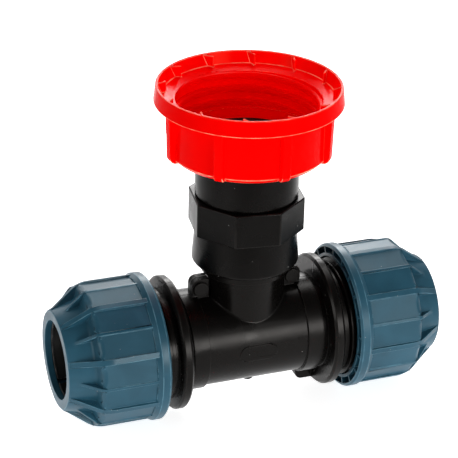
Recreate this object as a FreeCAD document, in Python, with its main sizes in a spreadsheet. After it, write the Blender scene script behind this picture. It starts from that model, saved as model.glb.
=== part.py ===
"""Pipe tee: a moulded body with a compression nut on each run end, and a branch
that carries an octagonal coupler, a tank adapter and a coarse-threaded swivel nut.

Millimetres. The run lies along X and the branch stands along +Z. The origin is
where the two axes cross.
"""
import FreeCAD
import Part
import Sketcher
import math
import os

# Driving sizes. Lengths along the run are measured outwards from the branch axis,
# heights along the branch are measured up from the run axis.
SIZES = [
    # tee body, run
    ("tube_radius", 20.3),
    ("band_radius", 21.2),
    ("band_start", 21.7),
    ("band_end", 28.6),
    ("flange_start", 31.0),
    ("flange_thick", 4.6),
    ("flange_radius", 28.2),
    ("flange_chamfer", 1.0),
    ("thread_root_radius", 23.5),
    ("thread_radius", 25.2),
    ("relief_width", 1.6),
    ("nose_radius", 22.6),
    ("run_end", 54.5),
    ("nose_length", 1.9),
    ("waterway_radius", 12.5),
    ("pipe_stop", 14.0),
    ("pipe_socket_radius", 16.2),
    ("mouth_radius", 19.8),
    ("mouth_depth", 6.1),
    # tee body, branch
    ("neck_radius", 16.2),
    ("saddle_round", 1.4),
    ("lip_height", 31.0),
    ("lip_radius", 18.6),
    ("lip_thick", 3.4),
    ("lip_chamfer", 0.5),
    ("male_radius", 16.4),
    ("male_length", 15.6),
    ("male_chamfer", 1.0),
    # tee body, small forms
    ("plate_middle", -0.4),
    ("plate_length", 16.4),
    ("plate_width", 7.0),
    ("plate_rise", 0.4),
    ("lug_width", 7.2),
    ("lug_thick", 6.0),
    ("lug_height", 9.0),
    ("lug_middle", 20.25),
    ("lug_top", 28.6),
    ("lug_round", 3.0),
    ("lug_button_radius", 3.2),
    ("lug_button_rise", 1.2),
    ("lug_button_drop", 4.2),
    ("stop_lug_width", 5.6),
    ("stop_lug_length", 7.4),
    ("stop_lug_radius", 27.2),
    ("stop_lug_round", 3.2),
    ("gate_radius", 2.3),
    ("gate_rise", 3.3),
    ("gate_offset", 2.6),
    # compression nut
    ("nut_length", 40.4),
    ("collar_radius", 31.0),
    ("collar_crest", 3.9),
    ("collar_slope", 2.0),
    ("collar_chamfer", 0.9),
    ("drum_radius", 29.7),
    ("drum_facets", 16),
    ("drum_front", 12.1),
    ("shoulder_slope", 1.6),
    ("shoulder_chamfer", 1.6),
    ("cone_radius", 24.0),
    ("front_radius", 20.9),
    ("front_chamfer", 0.5),
    ("main_rib_count", 8),
    ("main_rib_radius", 30.4),
    ("main_rib_width", 2.4),
    ("main_rib_knee", 13.1),
    ("main_rib_round", 13.0),
    ("fin_radius", 29.95),
    ("fin_width", 1.3),
    ("fin_knee", 12.2),
    ("fin_tip", 4.0),
    ("fin_tip_radius", 21.7),
    ("fin_round", 4.5),
    ("entry_radius", 16.5),
    ("entry_lip", 2.7),
    ("cone_front_radius", 18.2),
    ("cone_back_radius", 21.7),
    ("cone_length", 16.4),
    ("chamber_radius", 25.6),
    ("chamber_clear", 2.0),
    ("sleeve_wall", 1.4),
    ("skirt_wall", 1.4),
    ("pocket_depth", 4.9),
    ("web_count", 20),
    ("web_thick", 1.0),
    ("web_root", 1.0),
    ("web_turn", 5.4),
    ("left_nut_turn", 22.5),
    ("right_nut_turn", 5.2),
    # rings inside each nut
    ("cone_gap", 0.3),
    ("ring_gap", 0.3),
    ("pipe_gap", 0.25),
    ("grip_back_land", 0.6),
    ("grip_slit", 2.2),
    ("grip_slit_angle", 153),
    ("tooth_count", 3),
    ("tooth_pitch", 4.2),
    ("tooth_land", 0.6),
    ("tooth_depth", 0.7),
    ("thrust_radius", 22.5),
    ("thrust_gap", 1.2),
    ("thrust_thick", 6.2),
    ("thrust_nose", 2.7),
    ("nose_gap", 0.4),
    ("seal_length", 3.3),
    ("seal_gap", 0.2),
    # octagonal coupler
    ("coupler_foot_radius", 22.2),
    ("coupler_waist_radius", 21.1),
    ("coupler_skirt", 15.7),
    ("coupler_chamfer", 1.2),
    ("octagon_radius", 24.2),
    ("octagon_height", 14.5),
    ("octagon_turn", -30.4),
    ("coupler_bore_radius", 16.7),
    # tank adapter
    ("adapter_radius", 21.2),
    ("adapter_length", 20.0),
    ("adapter_chamfer", 0.8),
    ("adapter_tail", 13.6),
    ("adapter_rim", 1.2),
    ("adapter_flange_thick", 2.2),
    ("gasket_inner_radius", 14.5),
    ("gasket_outer_radius", 23.6),
    ("gasket_recess", 1.2),
    ("gasket_gap", 0.3),
    ("gasket_thick", 1.7),
    # swivel nut
    ("swivel_floor", 1.5),
    ("swivel_undercut", 6.4),
    ("swivel_height", 29.2),
    ("swivel_play", 0.3),
    ("swivel_hole_gap", 0.5),
    ("swivel_wall_radius", 32.5),
    ("swivel_foot_chamfer", 1.9),
    ("rim_radius", 37.5),
    ("rim_wall", 1.0),
    ("rim_draft", 0.8),
    ("rim_height", 6.7),
    ("ledge_depth", 5.0),
    ("ledge_radius", 34.0),
    ("lead_depth", 6.1),
    ("channel_draft", 1.6),
    ("coarse_minor_radius", 27.85),
    ("coarse_major_radius", 30.0),
    ("swivel_rib_count", 8),
    ("swivel_rib_width", 3.7),
    ("swivel_rib_radius", 35.5),
    ("swivel_rib_draft", 0.6),
    ("swivel_rib_foot", 0.7),
    ("swivel_rib_round", 2.6),
    ("swivel_rib_root", 0.5),
    ("swivel_turn", 4.9),
    ("tooth_fin_count", 12),
    ("tooth_fin_thick", 0.7),
    ("tooth_fin_reach", 4.6),
    ("tooth_fin_lean", 42),
    ("tooth_fin_start", 5.3),
    ("tooth_fin_drop", 0.4),
    ("tooth_fin_root", 1.2),
    # how far a cut runs past the face that it opens
    ("cut_past", 1.0),
]

X_AXIS = FreeCAD.Vector(1, 0, 0)
Z_AXIS = FreeCAD.Vector(0, 0, 1)
START, END, CENTRE = range(1, 4)

doc = FreeCAD.newDocument("PipeTee")
sheet = doc.addObject("Spreadsheet::Sheet", "Sizes")
for row, (alias, value) in enumerate(SIZES, start=1):
    sheet.set("A%d" % row, alias)
    sheet.set("B%d" % row, str(value))
    sheet.setAlias("B%d" % row, alias)
doc.recompute()


class Size:
    """A number with the sheet expression that gives it."""

    def __init__(self, number, text):
        self.number = number
        self.text = text

    def join(self, other, sign, number):
        return Size(number, "(%s %s %s)" % (self.text, sign, getattr(other, "text", other)))

    def __add__(self, other):
        return self.join(other, "+", self.number + getattr(other, "number", other))

    def __sub__(self, other):
        return self.join(other, "-", self.number - getattr(other, "number", other))

    def __mul__(self, other):
        return self.join(other, "*", self.number * getattr(other, "number", other))

    def __truediv__(self, other):
        return self.join(other, "/", self.number / getattr(other, "number", other))

    def __neg__(self):
        return self * -1


class Sizes:
    """The cells of the sheet by name, such as cell.rim_radius."""

    def __getattr__(self, alias):
        return Size(float(sheet.get(alias)), "Sizes." + alias)


cell = Sizes()
ZERO = Size(0.0, "0")
HALF_TURN = Size(180.0, "180")


def origin_item(body, role):
    return next(item for item in body.Origin.OriginFeatures if item.Role == role)


def new_sketch(body, name, plane, lift=ZERO, turn=ZERO, about=Z_AXIS):
    """An empty sketch on an origin plane, lifted off it and turned about one of its axes."""
    sketch = body.newObject("Sketcher::SketchObject", name)
    sketch.AttachmentSupport = [(origin_item(body, plane), "")]
    sketch.MapMode = "FlatFace"
    sketch.AttachmentOffset = FreeCAD.Placement(
        FreeCAD.Vector(0, 0, lift.number), FreeCAD.Rotation(about, turn.number))
    sketch.setExpression("AttachmentOffset.Base.z", lift.text)
    if turn is not ZERO:
        sketch.setExpression("AttachmentOffset.Rotation.Angle", "%s * 1 deg" % turn.text)
    return sketch


def hold(sketch, value, kind, *where):
    """Fix a radius or a distance in a sketch at its size."""
    rule = sketch.addConstraint(Sketcher.Constraint(kind, *where, value.number))
    sketch.setExpression("Constraints[%d]" % rule, value.text)


def rounded_corner(before, corner, after, radius):
    """The arc that rounds a corner, where it starts and ends, and whether it turns left."""
    towards_before = (before - corner).normalize()
    towards_after = (after - corner).normalize()
    half = math.acos(max(-1.0, min(1.0, towards_before.dot(towards_after)))) / 2
    cut = radius / math.tan(half)
    middle = corner + (towards_before + towards_after).normalize() * (radius / math.sin(half))
    start = corner + towards_before * cut
    end = corner + towards_after * cut
    turns_left = (-towards_before).cross(towards_after).z > 0
    first, last = (start, end) if turns_left else (end, start)
    first_angle = math.atan2(first.y - middle.y, first.x - middle.x)
    last_angle = math.atan2(last.y - middle.y, last.x - middle.x)
    if last_angle < first_angle:
        last_angle += 2 * math.pi
    arc = Part.ArcOfCircle(Part.Circle(middle, Z_AXIS, radius), first_angle, last_angle)
    return arc, start, end, turns_left


def outline(body, name, corners, plane="XZ_Plane", lift=ZERO, turn=ZERO, about=Z_AXIS):
    """A closed outline through corners (across, up) or (across, up, rounding radius)."""
    sketch = new_sketch(body, name, plane, lift, turn, about)
    count = len(corners)
    points = [FreeCAD.Vector(corner[0].number, corner[1].number, 0) for corner in corners]
    starts = list(points)
    ends = list(points)
    arcs = {}
    for i, corner in enumerate(corners):
        if len(corner) == 3:
            arc, starts[i], ends[i], turns_left = rounded_corner(
                points[i - 1], points[i], points[(i + 1) % count], corner[2].number)
            arcs[i] = (arc, turns_left)
    for i in range(count):
        sketch.addGeometry(Part.LineSegment(ends[i], starts[(i + 1) % count]), False)
    for i, corner in enumerate(corners):
        before = (i - 1) % count
        if i in arcs:
            arc, turns_left = arcs[i]
            index = sketch.addGeometry(arc, False)
            start, end = (START, END) if turns_left else (END, START)
            sketch.addConstraint(Sketcher.Constraint("Tangent", before, END, index, start))
            sketch.addConstraint(Sketcher.Constraint("Tangent", i, START, index, end))
            hold(sketch, corner[2], "Radius", index)
            point = sketch.addGeometry(Part.Point(points[i]), True)
            sketch.addConstraint(Sketcher.Constraint("PointOnObject", point, START, before))
            sketch.addConstraint(Sketcher.Constraint("PointOnObject", point, START, i))
        else:
            point = i
            sketch.addConstraint(Sketcher.Constraint("Coincident", before, END, i, START))
        hold(sketch, corner[0], "DistanceX", point, START)
        hold(sketch, corner[1], "DistanceY", point, START)
    return sketch


def round_outline(body, name, plane, lift, across, up, radius):
    """A circle about a point of a plane."""
    sketch = new_sketch(body, name, plane, lift)
    middle = FreeCAD.Vector(across.number, up.number, 0)
    circle = sketch.addGeometry(Part.Circle(middle, Z_AXIS, radius.number), False)
    hold(sketch, radius, "Radius", circle)
    hold(sketch, across, "DistanceX", circle, CENTRE)
    hold(sketch, up, "DistanceY", circle, CENTRE)
    return sketch


def slot_outline(body, name, plane, middle, length, width):
    """A slot along a plane's H axis with round ends."""
    sketch = new_sketch(body, name, plane)
    radius = width / 2
    right = middle + length / 2 - radius
    left = middle - length / 2 + radius
    ends = [FreeCAD.Vector(right.number, 0, 0), FreeCAD.Vector(left.number, 0, 0)]
    side = FreeCAD.Vector(0, radius.number, 0)
    quarter = math.pi / 2
    sketch.addGeometry(Part.LineSegment(ends[1] - side, ends[0] - side), False)
    sketch.addGeometry(Part.ArcOfCircle(
        Part.Circle(ends[0], Z_AXIS, radius.number), -quarter, quarter), False)
    sketch.addGeometry(Part.LineSegment(ends[0] + side, ends[1] + side), False)
    sketch.addGeometry(Part.ArcOfCircle(
        Part.Circle(ends[1], Z_AXIS, radius.number), quarter, 3 * quarter), False)
    bottom, right_arc, top, left_arc = range(4)
    for first, first_end, second, second_end in (
            (bottom, END, right_arc, START), (right_arc, END, top, START),
            (top, END, left_arc, START), (left_arc, END, bottom, START)):
        sketch.addConstraint(Sketcher.Constraint("Tangent", first, first_end, second, second_end))
    sketch.addConstraint(Sketcher.Constraint("Horizontal", bottom))
    hold(sketch, radius, "Radius", right_arc)
    for arc, across in ((right_arc, right), (left_arc, left)):
        sketch.addConstraint(Sketcher.Constraint("PointOnObject", arc, CENTRE, -1))
        hold(sketch, across, "DistanceX", arc, CENTRE)
    return sketch


def turned(body, name, sketch, axis, cut=False):
    """Turn a sketch a full circle about its own H_Axis or V_Axis."""
    kind = "PartDesign::Groove" if cut else "PartDesign::Revolution"
    feature = body.newObject(kind, name)
    feature.Profile = sketch
    feature.ReferenceAxis = (sketch, [axis])
    feature.Angle = 360
    finish(body, feature)
    return feature


def extruded(body, name, sketch, length, cut=False, midplane=False, reverse=False):
    kind = "PartDesign::Pocket" if cut else "PartDesign::Pad"
    feature = body.newObject(kind, name)
    feature.Profile = sketch
    feature.Midplane = midplane
    feature.Reversed = reverse
    feature.setExpression("Length", length.text)
    finish(body, feature)
    return feature


def repeated(body, name, features, axis, count):
    """Copies of features, evenly spaced about an origin axis."""
    pattern = body.newObject("PartDesign::PolarPattern", name)
    pattern.Originals = features
    pattern.Axis = (origin_item(body, axis), [""])
    pattern.Angle = 360
    pattern.setExpression("Occurrences", count.text)
    body.Tip = pattern
    finish(body, pattern)
    return pattern


def finish(body, feature):
    doc.recompute()
    for item in (feature, body):
        if "Invalid" in item.State or "Error" in item.State:
            raise RuntimeError("%s of %s failed: %s" % (feature.Name, body.Label, feature.State))


def new_body(label):
    body = doc.addObject("PartDesign::Body", label)
    body.Label = label
    doc.recompute()
    return body


def regular_outline(body, name, sides, radius, plane, lift, turn):
    """A regular polygon inside a circle, first corner on the sketch's turned H axis."""
    sketch = new_sketch(body, name, plane, lift, turn)
    circle = sketch.addGeometry(Part.Circle(FreeCAD.Vector(), Z_AXIS, radius.number), True)
    sketch.addConstraint(Sketcher.Constraint("Coincident", circle, CENTRE, -1, START))
    hold(sketch, radius, "Radius", circle)
    corners = []
    for i in range(sides):
        angle = 2 * math.pi * i / sides
        corners.append(FreeCAD.Vector(math.cos(angle), math.sin(angle), 0) * radius.number)
    lines = []
    for i in range(sides):
        side = Part.LineSegment(corners[i], corners[(i + 1) % sides])
        lines.append(sketch.addGeometry(side, False))
    for i, line in enumerate(lines):
        following = lines[(i + 1) % sides]
        sketch.addConstraint(Sketcher.Constraint("Coincident", line, END, following, START))
        sketch.addConstraint(Sketcher.Constraint("PointOnObject", line, START, circle))
        if i:
            sketch.addConstraint(Sketcher.Constraint("Equal", lines[0], line))
    sketch.addConstraint(Sketcher.Constraint("PointOnObject", lines[0], START, -1))
    return sketch


def sine(angle):
    return Size(math.sin(math.radians(angle.number)), "sin(%s)" % angle.text)


def cosine(angle):
    return Size(math.cos(math.radians(angle.number)), "cos(%s)" % angle.text)


def place_on_run(body, along, roll, left=False):
    """Put a piece of one run end at its distance along the run, turned about it."""
    if left:
        along = -along
    body.Placement = FreeCAD.Placement(
        FreeCAD.Vector(along.number, 0, 0),
        FreeCAD.Rotation(180 if left else 0, 0, roll.number))
    body.setExpression("Placement.Base.x", along.text)
    if roll is not ZERO:
        body.setExpression("Placement.Rotation.Roll", "%s * 1 deg" % roll.text)
    doc.recompute()


def place_on_branch(body, height, turn=ZERO):
    """Put a piece of the branch at its height, turned about the branch."""
    body.Placement = FreeCAD.Placement(
        FreeCAD.Vector(0, 0, height.number), FreeCAD.Rotation(turn.number, 0, 0))
    body.setExpression("Placement.Base.z", height.text)
    if turn is not ZERO:
        body.setExpression("Placement.Rotation.Yaw", "%s * 1 deg" % turn.text)
    doc.recompute()


def meeting_edges(shape, branch_radius, run_radius):
    """Names of the edges where the branch's cylinder meets the run's."""
    nearness = 0.01
    points_each = 5
    names = []
    for i, edge in enumerate(shape.Edges, start=1):
        points = edge.discretize(points_each)
        on_branch = all(abs(math.hypot(p.x, p.y) - branch_radius.number) < nearness for p in points)
        on_run = all(abs(math.hypot(p.y, p.z) - run_radius.number) < nearness for p in points)
        if on_branch and on_run:
            names.append("Edge%d" % i)
    return names


def mirrored(corners):
    """The corners of a right half followed by their mirror image on the left."""
    left = [(-corner[0],) + tuple(corner[1:]) for corner in reversed(corners)]
    return list(corners) + left


# Places that more than one piece uses. Outwards from the mouth of the run come
# the thrust ring, the grip ring and the nut, whose length reaches back over the thread.
flange_end = cell.flange_start + cell.flange_thick
thread_end = cell.run_end - cell.nose_length
mouth_floor = cell.run_end - cell.mouth_depth
thrust_front = cell.run_end + cell.thrust_gap
thrust_back = thrust_front + cell.thrust_thick
grip_back = thrust_back + cell.ring_gap
cone_back = grip_back + cell.grip_back_land
nut_end = cone_back + cell.cone_length + cell.entry_lip
nut_start = nut_end - cell.nut_length
lip_top = cell.lip_height + cell.lip_thick
coupler_height = cell.coupler_skirt + cell.octagon_height
coupler_top = lip_top + coupler_height
flange_foot = cell.adapter_length
adapter_end = flange_foot + cell.adapter_flange_thick
swivel_start = coupler_top + flange_foot - cell.swivel_play - cell.swivel_floor

# Tee body. One moulding: the run with its bands, flanges and threaded ends
# turned about X, the branch with its shoulder ring turned about Z, and the
# small forms of the mould. The threads are left as their crest cylinders.
tee = new_body("tee_body")
run_half = [
    (cell.band_start, cell.tube_radius),
    (cell.band_start, cell.band_radius),
    (cell.band_end, cell.band_radius),
    (cell.band_end, cell.tube_radius),
    (cell.flange_start, cell.tube_radius),
    (cell.flange_start, cell.flange_radius - cell.flange_chamfer),
    (cell.flange_start + cell.flange_chamfer, cell.flange_radius),
    (flange_end - cell.flange_chamfer, cell.flange_radius),
    (flange_end, cell.flange_radius - cell.flange_chamfer),
    (flange_end, cell.thread_root_radius),
    (flange_end + cell.relief_width, cell.thread_root_radius),
    (flange_end + cell.relief_width, cell.thread_radius),
    (thread_end, cell.thread_radius),
    (thread_end + (cell.thread_radius - cell.nose_radius) / 2, cell.nose_radius),
    (cell.run_end, cell.nose_radius),
    (cell.run_end, ZERO),
]
turned(tee, "Run", outline(tee, "RunOutline", mirrored(run_half)), "H_Axis")

# A bare rounded plate that follows the tube on the -Y side.
plate = slot_outline(tee, "PlateOutline", "XZ_Plane",
                     cell.plate_middle, cell.plate_length, cell.plate_width)
extruded(tee, "Plate", plate, cell.tube_radius * 1.2)
plate_top = cell.tube_radius + cell.plate_rise
plate_reach = cell.plate_length / 2 + cell.cut_past
turned(tee, "PlateFace", outline(tee, "PlateFaceOutline", [
    (cell.plate_middle - plate_reach, plate_top),
    (cell.plate_middle + plate_reach, plate_top),
    (cell.plate_middle + plate_reach, cell.tube_radius * 1.3),
    (cell.plate_middle - plate_reach, cell.tube_radius * 1.3),
]), "H_Axis", cut=True)

# Branch: neck, shoulder ring and the threaded spigot inside the coupler.
turned(tee, "Branch", outline(tee, "BranchOutline", [
    (ZERO, ZERO),
    (cell.neck_radius, ZERO),
    (cell.neck_radius, cell.lip_height),
    (cell.lip_radius, cell.lip_height),
    (cell.lip_radius, lip_top - cell.lip_chamfer),
    (cell.lip_radius - cell.lip_chamfer, lip_top),
    (cell.male_radius, lip_top),
    (cell.male_radius, lip_top + cell.male_length - cell.male_chamfer),
    (cell.male_radius - cell.male_chamfer, lip_top + cell.male_length),
    (ZERO, lip_top + cell.male_length),
]), "V_Axis")

# A rounded valley where the neck stands on the tube.
branch = tee.Tip
saddle = tee.newObject("PartDesign::Fillet", "Saddle")
saddle.Base = (branch, meeting_edges(branch.Shape, cell.neck_radius, cell.tube_radius))
saddle.setExpression("Radius", cell.saddle_round.text)
finish(tee, saddle)

# A lug on each side of the neck, with a round button on its front.
lug_right = cell.lug_middle + cell.lug_width / 2
lug_left = cell.lug_middle - cell.lug_width / 2
for side, name in ((1, "Right"), (-1, "Left")):
    lug = outline(tee, "Lug%sOutline" % name, [
        (lug_left * side, cell.lug_top - cell.lug_height - cell.tube_radius / 2),
        (lug_right * side, cell.lug_top - cell.lug_height - cell.tube_radius / 2),
        (lug_right * side, cell.lug_top, cell.lug_round),
        (lug_left * side, cell.lug_top),
    ])
    extruded(tee, "Lug%s" % name, lug, cell.lug_thick, midplane=True)
    button = round_outline(
        tee, "Button%sOutline" % name, "XZ_Plane", cell.lug_thick / 2, cell.lug_middle * side,
        cell.lug_top - cell.lug_button_drop, cell.lug_button_radius)
    extruded(tee, "Button%s" % name, button, cell.lug_button_rise)

# A stop under each flange and the mark of the gate under the middle.
for side, name in ((1, "Right"), (-1, "Left")):
    stop = outline(tee, "Stop%sOutline" % name, [
        ((cell.flange_start + cell.flange_thick / 2) * side, -cell.tube_radius / 2),
        ((cell.flange_start - cell.stop_lug_length) * side, -cell.tube_radius / 2),
        ((cell.flange_start - cell.stop_lug_length) * side, -cell.stop_lug_radius,
         cell.stop_lug_round),
        ((cell.flange_start + cell.flange_thick / 2) * side, -cell.stop_lug_radius),
    ])
    extruded(tee, "Stop%s" % name, stop, cell.stop_lug_width, midplane=True)
gate = round_outline(tee, "GateOutline", "XY_Plane", -(cell.tube_radius + cell.gate_rise),
                     cell.gate_offset, ZERO, cell.gate_radius)
extruded(tee, "Gate", gate, cell.gate_rise + cell.tube_radius / 3)

# The ways for water and pipe.
bore_half = [
    (cell.pipe_stop, cell.waterway_radius),
    (cell.pipe_stop, cell.pipe_socket_radius),
    (mouth_floor, cell.pipe_socket_radius),
    (mouth_floor, cell.mouth_radius),
    (cell.run_end + cell.cut_past, cell.mouth_radius),
    (cell.run_end + cell.cut_past, ZERO),
]
turned(tee, "RunBore", outline(tee, "RunBoreOutline", mirrored(bore_half)), "H_Axis", cut=True)
turned(tee, "BranchBore", outline(tee, "BranchBoreOutline", [
    (ZERO, ZERO),
    (cell.waterway_radius, ZERO),
    (cell.waterway_radius, lip_top + cell.male_length + cell.cut_past),
    (ZERO, lip_top + cell.male_length + cell.cut_past),
]), "V_Axis", cut=True)

# Compression nuts. Modelled along +X from the rear face, the open end that
# faces the tee. A sixteen-sided drum carries eight ribs and eight thin fins
# that run down onto a cone, and the rear wall is hollowed between webs.
drum_end = cell.nut_length - cell.drum_front
chamber_end = cell.run_end + cell.chamber_clear - nut_start
cone_start = cone_back - nut_start
sleeve_radius = cell.chamber_radius + cell.sleeve_wall
skirt_radius = cell.collar_radius - cell.skirt_wall
shoulder_end = drum_end + cell.shoulder_slope
collar_start = cell.collar_crest + cell.collar_slope


def make_nut(label):
    nut = new_body(label)
    turned(nut, "Collar", outline(nut, "CollarOutline", [
        (ZERO, ZERO),
        (ZERO, cell.collar_radius - cell.collar_chamfer),
        (cell.collar_chamfer, cell.collar_radius),
        (cell.collar_crest, cell.collar_radius),
        (collar_start, cell.drum_radius),
        (collar_start, ZERO),
    ]), "H_Axis")
    drum = regular_outline(nut, "DrumOutline", int(cell.drum_facets.number),
                           cell.drum_radius, "YZ_Plane", ZERO, ZERO)
    extruded(nut, "Drum", drum, cell.nut_length + cell.cut_past)
    clear = cell.drum_radius * 1.1
    turned(nut, "Front", outline(nut, "FrontOutline", [
        (drum_end - cell.shoulder_chamfer, clear),
        (drum_end - cell.shoulder_chamfer, cell.drum_radius),
        (drum_end, cell.drum_radius - cell.shoulder_chamfer / 2),
        (shoulder_end, cell.cone_radius),
        (cell.nut_length - cell.front_chamfer, cell.front_radius),
        (cell.nut_length, cell.front_radius - cell.front_chamfer),
        (cell.nut_length, ZERO),
        (cell.nut_length + cell.cut_past * 2, ZERO),
        (cell.nut_length + cell.cut_past * 2, clear),
    ]), "H_Axis", cut=True)
    rib = extruded(nut, "Rib", outline(nut, "RibOutline", [
        (cell.collar_crest, cell.front_radius / 2),
        (cell.nut_length - cell.front_chamfer, cell.front_radius / 2),
        (cell.nut_length - cell.front_chamfer, cell.front_radius),
        (cell.nut_length - cell.main_rib_knee, cell.main_rib_radius, cell.main_rib_round),
        (cell.collar_crest, cell.main_rib_radius),
    ]), cell.main_rib_width, midplane=True)
    repeated(nut, "Ribs", [rib], "X_Axis", cell.main_rib_count)
    fin = extruded(nut, "Fin", outline(nut, "FinOutline", [
        (cell.collar_crest, cell.front_radius / 2),
        (cell.nut_length - cell.fin_tip, cell.front_radius / 2),
        (cell.nut_length - cell.fin_tip, cell.fin_tip_radius),
        (cell.nut_length - cell.fin_knee, cell.fin_radius, cell.fin_round),
        (cell.collar_crest, cell.fin_radius),
    ], turn=HALF_TURN / cell.main_rib_count, about=X_AXIS),
        cell.fin_width, midplane=True)
    repeated(nut, "Fins", [fin], "X_Axis", cell.main_rib_count)
    turned(nut, "Inside", outline(nut, "InsideOutline", [
        (-cell.cut_past, ZERO),
        (-cell.cut_past, cell.chamber_radius),
        (chamber_end, cell.chamber_radius),
        (chamber_end, cell.thrust_radius + cell.ring_gap),
        (cone_start, cell.thrust_radius + cell.ring_gap),
        (cone_start, cell.cone_back_radius),
        (cone_start + cell.cone_length, cell.cone_front_radius),
        (cone_start + cell.cone_length, cell.entry_radius),
        (cell.nut_length + cell.cut_past, cell.entry_radius),
        (cell.nut_length + cell.cut_past, ZERO),
    ]), "H_Axis", cut=True)
    turned(nut, "Pockets", outline(nut, "PocketsOutline", [
        (-cell.cut_past, sleeve_radius),
        (cell.pocket_depth, sleeve_radius),
        (cell.pocket_depth, skirt_radius),
        (-cell.cut_past, skirt_radius),
    ]), "H_Axis", cut=True)
    web = extruded(nut, "Web", outline(nut, "WebOutline", [
        (ZERO, sleeve_radius - cell.sleeve_wall / 2),
        (cell.pocket_depth + cell.web_root, sleeve_radius - cell.sleeve_wall / 2),
        (cell.pocket_depth + cell.web_root, skirt_radius + cell.skirt_wall / 4),
        (ZERO, skirt_radius + cell.skirt_wall / 4),
    ], turn=cell.web_turn, about=X_AXIS), cell.web_thick, midplane=True)
    repeated(nut, "Webs", [web], "X_Axis", cell.web_count)
    return nut


right_nut = make_nut("right_nut")
place_on_run(right_nut, nut_start, cell.right_nut_turn)
left_nut = make_nut("left_nut")
place_on_run(left_nut, nut_start, cell.left_nut_turn, left=True)

# Inside each nut: a split grip ring in the cone, a thrust ring that pushes
# the seal into the mouth, and the seal ring. Placed from the tee's own axis.
grip_front = cone_back + cell.cone_length - cell.ring_gap
cone_slope = (cell.cone_back_radius - cell.cone_front_radius) / cell.cone_length
grip_front_radius = cell.cone_front_radius - cell.cone_gap + cone_slope * cell.ring_gap
ring_bore = cell.pipe_socket_radius + cell.pipe_gap
tooth_root = ring_bore + cell.tooth_depth


def make_grip_ring(label):
    ring = new_body(label)
    corners = [
        (grip_back, ring_bore),
        (grip_back, cell.cone_back_radius - cell.cone_gap),
        (cone_back, cell.cone_back_radius - cell.cone_gap),
        (grip_front, grip_front_radius),
        (grip_front, ring_bore),
    ]
    for i in range(int(cell.tooth_count.number)):
        corners.append((grip_front - cell.tooth_pitch * i - cell.tooth_land, ring_bore))
        corners.append((grip_front - cell.tooth_pitch * i - cell.tooth_land, tooth_root))
        corners.append((grip_front - cell.tooth_pitch * (i + 1), ring_bore))
    turned(ring, "Ring", outline(ring, "RingOutline", corners), "H_Axis")
    extruded(ring, "Slit", outline(ring, "SlitOutline", [
        (grip_back - cell.cut_past, ring_bore / 2),
        (grip_front + cell.cut_past, ring_bore / 2),
        (grip_front + cell.cut_past, cell.cone_back_radius + cell.cut_past),
        (grip_back - cell.cut_past, cell.cone_back_radius + cell.cut_past),
    ], turn=cell.grip_slit_angle, about=X_AXIS), cell.grip_slit, cut=True, midplane=True)
    return ring


def make_thrust_ring(label):
    ring = new_body(label)
    turned(ring, "Ring", outline(ring, "RingOutline", [
        (thrust_front - cell.thrust_nose, ring_bore),
        (thrust_front - cell.thrust_nose, cell.mouth_radius - cell.nose_gap),
        (thrust_front, cell.mouth_radius - cell.nose_gap),
        (thrust_front, cell.thrust_radius),
        (thrust_back, cell.thrust_radius),
        (thrust_back, ring_bore),
    ]), "H_Axis")
    return ring


def make_seal(label):
    ring = new_body(label)
    inner = cell.pipe_socket_radius + cell.seal_gap
    outer = cell.mouth_radius - cell.seal_gap
    start = mouth_floor
    end = mouth_floor + cell.seal_length
    turned(ring, "Ring", outline(ring, "RingOutline", [
        (start, inner),
        (end, inner),
        (end, outer),
        (start, outer),
    ]), "H_Axis")
    return ring


for side in ("right", "left"):
    for make, name in ((make_grip_ring, "grip_ring"), (make_thrust_ring, "thrust_ring"),
                       (make_seal, "seal_ring")):
        piece = make("%s_%s" % (side, name))
        place_on_run(piece, ZERO, ZERO, left=side == "left")

# Coupler. A tapering skirt below and an octagon above, bored right through
# for the branch's spigot from below and the adapter's from above.
coupler = new_body("branch_socket")
turned(coupler, "Skirt", outline(coupler, "SkirtOutline", [
    (ZERO, ZERO),
    (cell.coupler_foot_radius - cell.coupler_chamfer, ZERO),
    (cell.coupler_foot_radius, cell.coupler_chamfer),
    (cell.coupler_waist_radius, cell.coupler_skirt),
    (ZERO, cell.coupler_skirt),
]), "V_Axis")
octagon = regular_outline(coupler, "OctagonOutline", 8, cell.octagon_radius,
                          "XY_Plane", cell.coupler_skirt, ZERO)
extruded(coupler, "Octagon", octagon, cell.octagon_height)
turned(coupler, "Bore", outline(coupler, "BoreOutline", [
    (ZERO, -cell.cut_past),
    (cell.coupler_bore_radius, -cell.cut_past),
    (cell.coupler_bore_radius, coupler_height + cell.cut_past),
    (ZERO, coupler_height + cell.cut_past),
]), "V_Axis", cut=True)
place_on_branch(coupler, lip_top, cell.octagon_turn)

# Tank adapter. A spigot in the coupler, a round body and a flange with a
# recess for the flat gasket.
adapter = new_body("outlet_adapter")
recess_radius = cell.gasket_outer_radius + cell.gasket_gap
turned(adapter, "Shape", outline(adapter, "ShapeOutline", [
    (cell.waterway_radius, -cell.adapter_tail),
    (cell.male_radius - cell.male_chamfer, -cell.adapter_tail),
    (cell.male_radius, -cell.adapter_tail + cell.male_chamfer),
    (cell.male_radius, ZERO),
    (cell.adapter_radius - cell.adapter_chamfer, ZERO),
    (cell.adapter_radius, cell.adapter_chamfer),
    (cell.adapter_radius, flange_foot),
    (recess_radius + cell.adapter_rim, flange_foot),
    (recess_radius + cell.adapter_rim, adapter_end),
    (recess_radius, adapter_end),
    (recess_radius, adapter_end - cell.gasket_recess),
    (cell.gasket_inner_radius - cell.gasket_gap, adapter_end - cell.gasket_recess),
    (cell.gasket_inner_radius - cell.gasket_gap, adapter_end),
    (cell.waterway_radius, adapter_end),
]), "V_Axis")
place_on_branch(adapter, coupler_top)

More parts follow.
